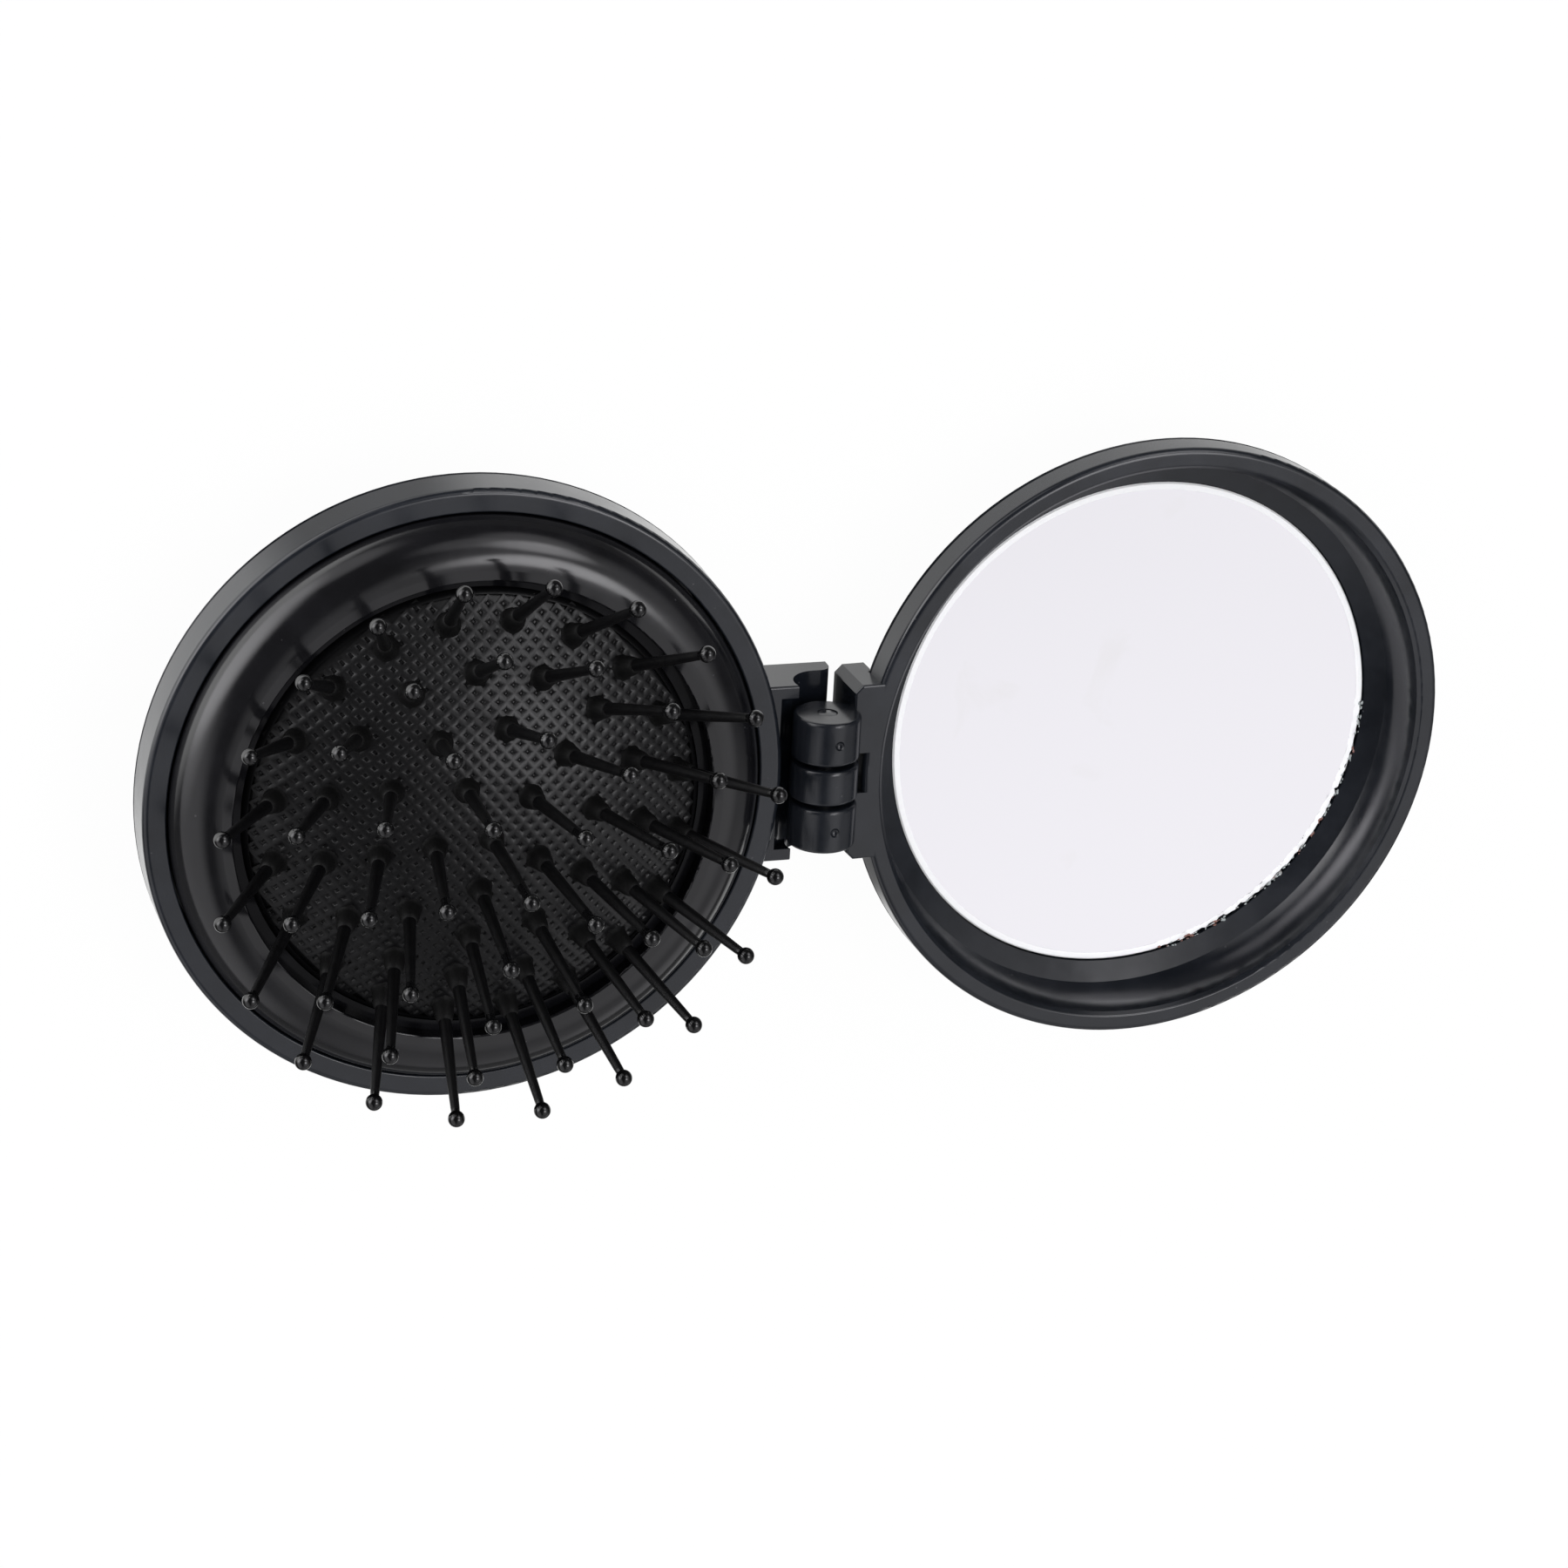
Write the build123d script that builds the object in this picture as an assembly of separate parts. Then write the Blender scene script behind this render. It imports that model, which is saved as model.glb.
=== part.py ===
from build123d import *
import math
import os

# A folding compact hairbrush: a round brush case and a round mirror lid on one
# three-knuckle hinge. The brush head pops up out of the case and its rubber
# cushion carries five rings of ball-ended pins.
#
# Frame: +X runs from the brush case towards the lid, +Y along the hinge pin,
# +Z up. The origin is on the table, straight below the middle of the hinge pin.
# Most pieces are drawn from the rim plane of their own half (height 0 there) with
# the hinge axis at x = 0, and are placed by place_base or place_lid.

# ---- driving dimensions, millimetres and degrees ----
case_r = 32.7            # outside radius of both halves
hinge_reach = 4.4        # hinge axis beyond the edge of each half
rim_gap = 0.4            # between the two rims when the compact is shut
over_open = 2.9          # the lid opens this far past flat, until its back meets the table
table_gap = 0.15         # left under the lid's back when it is open

wall = 1.3               # moulded wall
edge_round = 0.6         # outer rim edges
inner_round = 0.2        # inner edge of the brush case's rim
groove = 0.25            # half of the parting groove under each band
spigot_gap = 0.1         # between a shell's spigot and the band around it
part_gap = 0.05          # between flat faces of pieces that are clipped together

base_band = 5.0          # height of the brush case's upright band
rim_width = 2.35         # flat rim of the brush case
back_lean = 6.3          # how far the brush case's back draws in from band to foot
back_bow = 0.2           # bulge of that leaning wall
spigot_rise = 2.1        # a shell's spigot stands this far up inside the band
spigot_wall = 1.0
stroke = 6.0             # travel of the brush head
foot_recess = 0.3        # the pushed-in thumb plate stays this far inside the foot

shelf = 1.15             # thickness of the stop shelf inside the brush case
seat_gap = 0.15          # head to stop shelf at either end of the stroke
hook_height = 0.8
hook_reach = 0.8
hook_sweep = 26.0        # each hook covers this angle
hook_count = 4
slit = 0.7               # width of the slits beside each hook
slit_depth = 4.5

head_gap = 0.2           # head bezel to the bore of the brush case
head_skirt = 1.0         # the bezel reaches this far below the rim
head_rise = 3.4          # lip of the popped-up head above the rim
shoulder_run = 4.65      # width of the bezel's rounded shoulder
lip_width = 1.1
lip_drop = 1.75          # from the lip down to the recess around the cushion
recess_width = 1.05
ledge = 0.6              # thickness of the bezel's inner ledge over the cushion bead
cup_flange = 1.2         # flange under the cushion bead
cup_wall = 1.0
cup_gap = 0.9            # recess wall to the outside of the cup's skirt
plate_thick = 1.3        # thumb plate
plate_lip = 1.0          # raised lip around the thumb plate
thumb_dish = 0.5         # hollow in the thumb plate's outer face
thumb_dish_r = 18.0
plate_gap = 0.05

dome_rise = 7.75         # cushion's crown above the bezel's ledge
cushion_thick = 1.2
bead_height = 0.8
cushion_gap = 0.1

pin_foot_r = 0.68
pin_tip_r = 0.45
pin_ball_r = 0.85
pin_head_r = 1.2         # flat head under the cushion
pin_head_thick = 0.6
pin_gap = 0.08           # pin in its hole in the rubber
splay = 1.04             # pins lean this many times as much as the cushion's normal
ring_growth = 5          # each ring has this many pins more than the next one inwards
ring_edge = 2.65         # outer ring to the edge of the dome
ring_steps = (4.5, 5.2, 5.3)                     # from each ring to the next one inwards
pin_lengths = (13.4, 13.4, 13.8, 14.7, 16.0)     # foot to ball, outer ring first
ring_turns = (9.7, 21.8, 9.3, 44.4, 0.0)         # degrees, first pin of each ring
ring_names = ("pins_outer_ring", "pins_third_ring", "pins_second_ring", "pins_inner_ring", "pin_centre")

lid_band = 3.45          # height of the lid's upright band
lid_rim_width = 1.8      # flat rim of the lid
lid_lip = 0.4            # bevel inside that rim
lip_round = 0.3          # softens the bevel's upper edge
lid_wall_depth = 5.25    # rim to the foot of the hollow wall
lid_wall_lean = 1.25     # how far the hollow wall draws in
lid_wall_bow = 0.45      # its hollow curve
bezel_width = 2.1        # sloping ring around the mirror
mirror_depth = 6.3       # rim to the face of the glass
mirror_thick = 1.2
mirror_gap = 0.15
pad_thick = 0.2          # adhesive pad behind the glass
pad_inset = 1.6
tray_floor = 0.9
lid_flat_r = 24.0        # flat of the lid's back
lid_bow = 0.6            # bulge of the lid's domed back
lid_shell = 1.1          # wall of that back
tray_gap = 0.15          # mirror tray to the inside of the back

hinge_pin_r = 1.0
pin_running_gap = 0.05   # hinge pin in the lid's knuckles
pin_press = 0.01         # hinge pin in the case's knuckle, tighter than the pin
pin_end_gap = 0.6        # pin end below the face of the outer knuckle
knuckle_r = 3.5
knuckle_gap = 0.5
knuckle_mid = 3.8        # width of the case's knuckle
knuckle_side = 4.7       # width of each of the lid's knuckles
knuckle_round = 0.4
dimple_r = 0.55
dimple_depth = 0.3
dimple_x = 0.2           # off the crest of the knuckle
pocket_gap = 1.2         # around the turning knuckles
pocket_side = 1.2        # beside the outer knuckles
tab_half = 9.6           # half of both hinge tabs' width
tab_edge = 0.25          # rounding along the tabs' top edges
tab_drop = 1.2           # face of the case's tab below its rim, the lid's tab is flush
base_tab_depth = 6.3     # thickness of the case's tab
lid_tab_depth = 6.3      # thickness of the lid's tab
base_tab_end = 2.0       # the case's tab reaches this far past the axis
tab_end_gap = 1.05       # between the two tabs' ends when open
trough_r = 2.9           # saddle across the end of the case's tab
trough_depth = 4.0       # below the tab's face
nose_round = 1.2         # end of the case's tab beyond the saddle
slot_reach = 1.7         # lid's slot beyond the case's knuckle
slot_gap = 0.3
tab_corner = 0.8
shell_gap = 0.15         # tab to the leaning shell beside it

# ---- sizes that follow ----
hinge_offset = case_r + hinge_reach
bore_r = case_r - rim_width
head_r = bore_r - head_gap
shelf_top = -(head_skirt + stroke + seat_gap)
hook_top = shelf_top - shelf - seat_gap
cup_bottom = hook_top - hook_height
base_height = -cup_bottom + stroke + foot_recess
foot_r = case_r - back_lean
rim_z = base_height
hinge_z = rim_gap / 2
spigot_out_r = bore_r + 0.1 + spigot_wall
counterbore_r = spigot_out_r + spigot_gap

lip_in_r = head_r - shoulder_run - lip_width
lip_out_r = lip_in_r + lip_width
recess_z = head_rise - lip_drop
ledge_in_r = lip_in_r - recess_width
bead_top = recess_z - ledge - part_gap
bead_bottom = bead_top - bead_height
cup_out_r = lip_in_r - cup_gap - cushion_gap
cup_in_r = cup_out_r - cup_wall
flange_out_r = head_r - wall - cushion_gap
hook_r = cup_out_r + hook_reach
shelf_in_r = cup_out_r + seat_gap * 2
foot_in_r = hook_r + seat_gap

dome_edge_r = ledge_in_r - cushion_gap
dome_edge_z = recess_z + 0.2
crown_z = dome_edge_z + dome_rise
dome_radius = (dome_edge_r**2 + dome_rise**2) / (2 * dome_rise)
dome_centre_z = crown_z - dome_radius

open_turn = math.radians(over_open)
lid_reach = hinge_offset + lid_flat_r
lid_depth = (rim_z + hinge_z - table_gap - lid_reach * math.sin(open_turn)) / math.cos(open_turn) - hinge_z
lid_in_r = case_r - lid_rim_width
hollow_top_r = lid_in_r - lid_lip
hollow_foot_r = hollow_top_r - lid_wall_lean
mirror_r = hollow_foot_r - bezel_width - mirror_gap
tray_top = -(mirror_depth + mirror_thick + pad_thick)
pocket_r = knuckle_r + pocket_gap
knuckle_out = knuckle_mid / 2 + knuckle_gap + knuckle_side
lid_tab_start = base_tab_end + tab_end_gap
tiny = 0.01
big = 4 * case_r

place_base = Pos(0, 0, rim_z)
place_lid = Pos(0, 0, rim_z + hinge_z) * Rot(0, over_open, 0) * Pos(0, 0, -hinge_z)
base_middle = Pos(-hinge_offset, 0, 0)
lid_middle = Pos(hinge_offset, 0, 0)


# ---- drawing helpers ----
def bowed(start, end, rise):
    """Arc from start to end whose middle stands off to the right of the way there."""
    length = math.dist(start, end)
    mid_x = (start[0] + end[0]) / 2 + (end[1] - start[1]) / length * rise
    mid_y = (start[1] + end[1]) / 2 - (end[0] - start[0]) / length * rise
    return ThreePointArc(start, (mid_x, mid_y), end)


def parallel(start, end, rise, inset, low, high):
    """Arc that follows a bowed arc on its inside at a fixed distance, between two heights."""
    length = math.dist(start, end)
    radius = (length**2 / 4 + rise**2) / (2 * rise)
    along = ((end[0] - start[0]) / length, (end[1] - start[1]) / length)
    centre_x = (start[0] + end[0]) / 2 - along[1] * (radius - rise)
    centre_y = (start[1] + end[1]) / 2 + along[0] * (radius - rise)

    def point(height):
        return centre_x + math.sqrt((radius - inset) ** 2 - (height - centre_y) ** 2), height

    return ThreePointArc(point(low), point((low + high) / 2), point(high))


def cap_arc(edge_r, edge_z, top_z, top_r=0.0):
    """Arc from an edge up to a top where it lies level, at the axis or at the radius top_r."""
    rise = top_z - edge_z
    ball = ((edge_r - top_r) ** 2 + rise**2) / (2 * rise)
    half = math.asin((edge_r - top_r) / ball) / 2
    middle = (top_r + ball * math.sin(half), top_z - ball * (1 - math.cos(half)))
    return ThreePointArc((edge_r, edge_z), middle, (top_r, top_z))


def section(*pieces):
    """Closed section in radius and height, from a mix of corner points and arcs."""
    lines = []
    last = None
    first = None
    for piece in pieces:
        if isinstance(piece, tuple):
            begin, finish = piece, piece
        else:
            begin = tuple(piece @ 0)[:2]
            finish = tuple(piece @ 1)[:2]
            if last is not None and math.dist(last, finish) < math.dist(last, begin):
                begin, finish = finish, begin
        if last is not None and math.dist(last, begin) > tiny / 10:
            lines.append(Line(last, begin))
        if not isinstance(piece, tuple):
            lines.append(piece)
        first = first or begin
        last = finish
    if math.dist(last, first) > tiny / 10:
        lines.append(Line(last, first))
    return make_face(lines)


def soften(face, radius, *corners):
    """Rounds the named corners of a section."""
    picked = [v for v in face.vertices() if any(math.dist((v.X, v.Y), c) < tiny for c in corners)]
    return fillet(picked, radius)


def turned(face):
    """Body of revolution about Z."""
    return revolve(Plane.XZ * face, Axis.Z)


def block(x0, x1, y0, y1, z0, z1):
    """Box between two corners."""
    return Pos((x0 + x1) / 2, (y0 + y1) / 2, (z0 + z1) / 2) * Box(x1 - x0, y1 - y0, z1 - z0)


def barrel(radius, y0, y1):
    """Cylinder round the hinge axis from y0 to y1."""
    return Pos(0, (y0 + y1) / 2, hinge_z) * Rot(90, 0, 0) * Cylinder(radius, y1 - y0)


def disc(radius, z0, z1):
    """Cylinder about Z from z0 to z1."""
    return Pos(0, 0, (z0 + z1) / 2) * Cylinder(radius, z1 - z0)


def dome_height(radius):
    """Height of the cushion's face at this radius."""
    return dome_centre_z + math.sqrt(dome_radius**2 - radius**2)


def write(name, shape):
    """Saves one sub-part as a named STEP file."""
    export_step(Compound(shape.solids()), f"parts/{name}.step")
    print(name, len(shape.solids()), "solids", round(shape.volume, 1), "mm3")


# ---- brush case ----
def back_ends(extra=0.0):
    """Lower and upper end of the case's leaning wall, on its outside."""
    return (foot_r + extra, -base_height + groove), (case_r + extra, -base_band - groove)


def base_tab():
    """Hinge tab of the case, with its pocket, saddle and middle knuckle."""
    root = -(hinge_offset - bore_r) + tiny
    top = -tab_drop
    bottom = top - base_tab_depth
    floor = top - trough_depth
    tab = block(root, 0, -tab_half, tab_half, bottom, top)
    tab = fillet([e for e in tab.edges().filter_by(Axis.X) if e.center().Z > top - tiny], tab_edge)
    nose = block(-tiny, base_tab_end, -tab_half, tab_half, bottom, floor)
    nose = fillet([e for e in nose.edges().filter_by(Axis.Y) if e.center().X > 0 and e.center().Z > floor - tiny], nose_round)
    tab -= barrel(pocket_r, -knuckle_out - pocket_side, knuckle_out + pocket_side)
    tab -= Pos(0, 0, floor + trough_r) * Rot(90, 0, 0) * Cylinder(trough_r, big)
    tab += nose
    half = knuckle_mid / 2
    knuckle = barrel(knuckle_r, -half, half)
    knuckle = fillet(knuckle.edges().filter_by(GeomType.CIRCLE), knuckle_round)
    arm_half = half - knuckle_round
    arm = block(-knuckle_r * 0.75, knuckle_r * 0.45, -arm_half, arm_half, floor - tab_edge, hinge_z)
    return tab + knuckle + arm


def base_frame():
    """Rim and upright band of the case with the hinge tab."""
    ring_face = section(
        (bore_r, 0),
        (case_r, 0),
        (case_r, -base_band + groove),
        (case_r - groove, -base_band),
        (counterbore_r, -base_band),
        (counterbore_r, -base_band + spigot_rise + spigot_gap),
        (bore_r, -base_band + spigot_rise + spigot_gap),
    )
    ring_face = soften(soften(ring_face, edge_round, (case_r, 0)), inner_round, (bore_r, 0))
    ring = turned(ring_face)
    well = disc(bore_r, -big, big) + disc(counterbore_r, -big, -base_band + spigot_rise + spigot_gap)
    low, high = back_ends(shell_gap)
    lean = turned(section((0, low[1]), bowed(low, high, back_bow), (high[0], -base_band), (0, -base_band)))
    tab = base_tab() - base_middle * (well + lean)
    frame = base_middle * ring + tab
    return frame - barrel(hinge_pin_r - pin_press, -knuckle_out, knuckle_out)


def base_back():
    """Leaning lower shell with the foot, the thumb opening and the stop shelf."""
    low, high = back_ends()
    spigot_in = bore_r + 0.1
    face = section(
        (foot_in_r, -base_height),
        (foot_r - groove, -base_height),
        bowed(low, high, back_bow),
        (case_r - groove, -base_band - part_gap),
        (spigot_out_r, -base_band - part_gap),
        (spigot_out_r, -base_band + spigot_rise),
        (spigot_in, -base_band + spigot_rise),
        (spigot_in, -base_band - wall),
        (bore_r - seat_gap, shelf_top),
        (shelf_in_r, shelf_top),
        (shelf_in_r, shelf_top - shelf),
        parallel(low, high, back_bow, wall, shelf_top - shelf, -base_height + wall),
        (foot_in_r, -base_height + wall),
    )
    return base_middle * turned(face)


def hinge_pin():
    """Steel pin through the three knuckles."""
    reach = knuckle_out - pin_end_gap
    pin = barrel(hinge_pin_r, -reach, reach)
    return chamfer(pin.edges().filter_by(GeomType.CIRCLE), hinge_pin_r * 0.25)


# ---- brush head ----
def head_bezel():
    """Rounded shoulder ring with the lip round the cushion."""
    shoulder = cap_arc(head_r, 0, head_rise, lip_out_r)
    under = bead_bottom + part_gap
    face = section(
        (head_r, -head_skirt),
        shoulder,
        (lip_in_r, head_rise),
        (lip_in_r, recess_z),
        (ledge_in_r, recess_z),
        (ledge_in_r, recess_z - ledge),
        (lip_in_r - cushion_gap, recess_z - ledge),
        (lip_in_r - cushion_gap, under),
        (head_r - wall, under),
        (head_r - wall, -head_skirt),
    )
    return base_middle * turned(soften(face, 0.2, (lip_in_r, head_rise)))


def head_cup():
    """Cup under the cushion, with a skirt and four snap hooks under the stop shelf."""
    flange_bottom = bead_bottom - cup_flange
    cup = turned(section(
        (cup_in_r, cup_bottom),
        (cup_out_r, cup_bottom),
        (cup_out_r, flange_bottom),
        (flange_out_r, flange_bottom),
        (flange_out_r, bead_bottom),
        (cup_in_r, bead_bottom),
    ))
    barb_face = section((cup_out_r - tiny, cup_bottom), (cup_out_r + hook_reach * 0.5, cup_bottom),
                        (hook_r, hook_top - hook_height * 0.35), (hook_r, hook_top), (cup_out_r - tiny, hook_top))
    slit_top = cup_bottom + slit_depth
    for turn in range(hook_count):
        middle = (turn + 0.5) * 360 / hook_count
        barb = revolve(Plane.XZ * barb_face, Axis.Z, revolution_arc=hook_sweep)
        cup += Rot(0, 0, middle - hook_sweep / 2) * barb
        for side in (-1, 1):
            cut = block(cup_in_r - 1, hook_r + 1, -slit / 2, slit / 2, cup_bottom - 1, slit_top)
            cup -= Rot(0, 0, middle + side * (hook_sweep / 2 + 1.5)) * cut
    return base_middle * cup


def thumb_plate():
    """Plate at the bottom of the cup that is pushed to pop the head up."""
    out = cup_in_r - plate_gap
    top = cup_bottom + plate_thick
    dish = cap_arc(thumb_dish_r, cup_bottom, cup_bottom + thumb_dish)
    face = section(
        (0, top),
        dish,
        (out, cup_bottom),
        (out, top + plate_lip),
        (out - wall, top + plate_lip),
        (out - wall, top),
    )
    return base_middle * turned(face)


def pin_frames(ring):
    """Places of one ring's pins: foot on the cushion's face, Z along the pin."""
    place = ring_names.index(ring)
    inward = len(ring_steps) + 1 - place
    radius = dome_edge_r - ring_edge - sum(ring_steps[:place]) if inward else 0.0
    lean = splay * math.degrees(math.asin(radius / dome_radius))
    count = max(1, ring_growth * inward)
    foot = Pos(radius, 0, dome_height(radius)) * Rot(0, lean, 0)
    return [base_middle * Rot(0, 0, ring_turns[place] + i * 360 / count) * foot for i in range(count)]


def cushion():
    """Domed rubber cushion with a clamped bead and a hole for every pin."""
    inner_r = dome_radius - cushion_thick
    inner_edge = cup_in_r + cushion_gap
    inner_edge_z = dome_centre_z + math.sqrt(inner_r**2 - inner_edge**2)
    bead_r = lip_in_r - 2 * cushion_gap
    face = section(
        (inner_edge, bead_bottom),
        (bead_r, bead_bottom),
        (bead_r, bead_top),
        (dome_edge_r, bead_top),
        cap_arc(dome_edge_r, dome_edge_z, crown_z),
        (0, crown_z - cushion_thick),
        cap_arc(inner_edge, inner_edge_z, crown_z - cushion_thick),
    )
    body = base_middle * turned(face)
    drill = Cylinder(pin_foot_r + pin_gap, 6 * cushion_thick)
    return body - [frame * drill for ring in ring_names for frame in pin_frames(ring)]


def brush_pins(ring):
    """One ring of pins: flat head under the rubber, tapering shaft, ball end."""
    length = pin_lengths[ring_names.index(ring)]
    head_top = -cushion_thick - cushion_gap
    neck = length - math.sqrt(pin_ball_r**2 - pin_tip_r**2)
    ball = ThreePointArc((pin_tip_r, neck), (pin_ball_r, length), (0, length + pin_ball_r))
    face = section((0, head_top - pin_head_thick), (pin_head_r, head_top - pin_head_thick), (pin_head_r, head_top),
                   (pin_foot_r, head_top), (pin_foot_r, 0.5), ball)
    pin = turned(face)
    return Compound([frame * pin for frame in pin_frames(ring)])


# ---- mirror lid ----
def dome_ends(extra=0.0):
    """Lower and upper end of the lid's domed back, on its outside."""
    return (lid_flat_r + extra, -lid_depth), (case_r + extra, -lid_band - groove)


def lid_tab():
    """Hinge tab of the lid with its two knuckles and the slot between them."""
    root = hinge_offset - lid_in_r - tiny
    tab = block(lid_tab_start, root, -tab_half, tab_half, -lid_tab_depth, 0)
    ends = [e for e in tab.edges().filter_by(Axis.Z) if e.center().X < lid_tab_start + 1]
    tab = chamfer(ends, tab_corner)
    tab = fillet([e for e in tab.faces().sort_by(Axis.Z)[-1].edges() if e.center().X < root - tiny], tab_edge)
    y0 = knuckle_mid / 2 + knuckle_gap
    for side in (-1, 1):
        low, high = sorted((side * y0, side * knuckle_out))
        knuckle = barrel(knuckle_r, low, high)
        knuckle = fillet(knuckle.edges().filter_by(GeomType.CIRCLE), knuckle_round)
        web = block(knuckle_r / 6, lid_tab_start + 1, low + knuckle_round, high - knuckle_round, -knuckle_r / 2, 0)
        crest = hinge_z + math.sqrt(knuckle_r**2 - dimple_r**2)
        tab += knuckle + web
        tab -= Pos(dimple_x, (low + high) / 2, crest + dimple_r - dimple_depth) * Sphere(dimple_r)
    slot_end = knuckle_r + slot_reach
    slot_half = knuckle_mid / 2 + slot_gap
    return tab - block(0, slot_end, -slot_half, slot_half, -big, big)


def lid_frame():
    """Rim, hollow wall and mirror tray of the lid in one moulding, with the hinge tab."""
    hollow = bowed((hollow_foot_r, -lid_wall_depth), (hollow_top_r, -lid_lip), lid_wall_bow)
    seat_r = mirror_r + mirror_gap
    low, high = dome_ends()
    tray_bottom = tray_top - tray_floor
    under = parallel(low, high, lid_bow, lid_shell + tray_gap, -lid_band, tray_bottom)
    face = section(
        (0, tray_top),
        (seat_r, tray_top),
        (seat_r, -mirror_depth + 0.1),
        hollow,
        (lid_in_r, 0),
        (case_r, 0),
        (case_r, -lid_band + groove),
        (case_r - groove, -lid_band),
        under,
        (0, tray_bottom),
    )
    moulding = turned(soften(soften(face, edge_round, (case_r, 0)), lip_round, (lid_in_r, 0)))
    low, high = dome_ends(shell_gap)
    lean = turned(section((0, -lid_depth), bowed(low, high, lid_bow), (high[0], -lid_band), (0, -lid_band)))
    tab = lid_tab() - lid_middle * (disc(lid_in_r, -big, big) + lean)
    frame = lid_middle * moulding + tab
    return frame - barrel(hinge_pin_r + pin_running_gap, -knuckle_out - 1, knuckle_out + 1)


def lid_back():
    """Domed outer cover of the lid."""
    low, high = dome_ends()
    inside = parallel(low, high, lid_bow, lid_shell, -lid_band - part_gap, -lid_depth + lid_shell)
    face = section(
        (0, -lid_depth),
        bowed(low, high, lid_bow),
        (case_r - groove, -lid_band - part_gap),
        inside,
        (0, -lid_depth + lid_shell),
    )
    return lid_middle * turned(face)


def mirror():
    """Round mirror glass with a ground edge."""
    glass = disc(mirror_r, -mirror_depth - mirror_thick, -mirror_depth)
    rim = glass.edges().filter_by(GeomType.CIRCLE).sort_by(Axis.Z)[-1]
    return lid_middle * chamfer(rim, 0.2)


def mirror_pad():
    """Adhesive pad that holds the glass in its tray."""
    return lid_middle * disc(mirror_r - pad_inset, tray_top, tray_top + pad_thick)


if __name__ == "__main__":
    os.makedirs("parts", exist_ok=True)
    for node, maker in {
        "base_frame": base_frame,
        "base_back": base_back,
        "hinge_pin": hinge_pin,
        "head_bezel": head_bezel,
        "head_cup": head_cup,
        "thumb_plate": thumb_plate,
        "cushion": cushion,
    }.items():
        write(node, place_base * maker())
    for ring in ring_names:
        write(ring, place_base * brush_pins(ring))
    for node, maker in {
        "lid_frame": lid_frame,
        "lid_back": lid_back,
        "mirror": mirror,
        "mirror_pad": mirror_pad,
    }.items():
        write(node, place_lid * maker())
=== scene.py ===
import bpy
import math
import random
from mathutils import Matrix, Vector


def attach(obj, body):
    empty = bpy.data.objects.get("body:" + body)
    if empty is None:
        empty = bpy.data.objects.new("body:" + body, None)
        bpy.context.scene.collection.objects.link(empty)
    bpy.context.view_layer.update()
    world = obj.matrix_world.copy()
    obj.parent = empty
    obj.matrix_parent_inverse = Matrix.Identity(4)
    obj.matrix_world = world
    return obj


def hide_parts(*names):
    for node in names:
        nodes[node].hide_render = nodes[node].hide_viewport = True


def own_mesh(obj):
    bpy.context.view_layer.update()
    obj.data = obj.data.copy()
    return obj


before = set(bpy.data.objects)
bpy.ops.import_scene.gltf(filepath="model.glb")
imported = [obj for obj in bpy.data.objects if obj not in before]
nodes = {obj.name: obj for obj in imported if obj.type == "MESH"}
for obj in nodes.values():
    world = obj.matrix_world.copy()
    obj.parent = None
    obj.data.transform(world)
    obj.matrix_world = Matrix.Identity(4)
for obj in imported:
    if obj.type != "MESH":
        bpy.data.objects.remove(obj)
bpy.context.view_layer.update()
mm = 0.001
origin = Vector((0.0, 0.0, 0.0))
caseMiddle = Vector((-37.1, 0.0, 15.55)) * mm      # middle of the brush case, on its rim
hingeLine = Vector((0.0, 0.0, 15.75)) * mm
lidOpen = 2.9                                      # degrees past flat
lidReach = Vector((37.1, 0.0, -0.2)) * mm          # hinge line to the middle of the lid, on its rim
lidPlace = (Matrix.Translation(hingeLine) @ Matrix.Rotation(math.radians(lidOpen), 4, "Y")
            @ Matrix.Translation(lidReach))

# a Mix node's colour sockets, by number because its other sockets have the same names
firstColor, secondColor, mixedColor = 6, 7, 2


def above(point, height):
    return point + Vector((0, 0, height * mm))


def hexColor(text):
    channels = [int(text[i:i + 2], 16) / 255 for i in (1, 3, 5)]
    linear = [c / 12.92 if c <= 0.04045 else ((c + 0.055) / 1.055) ** 2.4 for c in channels]
    return (*linear, 1.0)


def newMaterial(name):
    material = bpy.data.materials.new(name)
    material.use_nodes = True
    material.node_tree.nodes.clear()
    return material


def addNode(owner, kind, settings=None, links=None):
    # owner: a material or a world; settings: the node's attributes, or its sockets by name or
    # number; links: its sockets by name or number, each with the output that feeds it
    node = owner.node_tree.nodes.new(kind)
    for key, value in (settings or {}).items():
        if isinstance(key, int) or key in node.inputs:
            node.inputs[key].default_value = value
        else:
            setattr(node, key, value)
    for key, source in (links or {}).items():
        owner.node_tree.links.new(source, node.inputs[key])
    return node


camera = {
    "place": (-145.1, 183.9, 443.8),      # mm
    "aim": (-7.0, 3.2, 24.2),
    "roll": 142.2,                        # degrees about the line of sight
    "lens": 110.0,
    "sensor": 36.0,
    "nearest": 0.01,                      # m, nothing nearer is drawn
}


def addCamera():
    place = Vector(camera["place"]) * mm
    aim = Vector(camera["aim"]) * mm
    data = bpy.data.cameras.new("camera")
    data.sensor_fit = "HORIZONTAL"
    data.sensor_width = camera["sensor"]
    data.lens = camera["lens"]
    data.clip_start = camera["nearest"]
    view = bpy.data.objects.new("camera", data)
    look = (aim - place).to_track_quat("-Z", "Y").to_matrix().to_4x4()
    roll = Matrix.Rotation(math.radians(camera["roll"]), 4, "Z")
    view.matrix_world = Matrix.Translation(place) @ look @ roll
    bpy.context.scene.collection.objects.link(view)
    bpy.context.scene.camera = view


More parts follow.
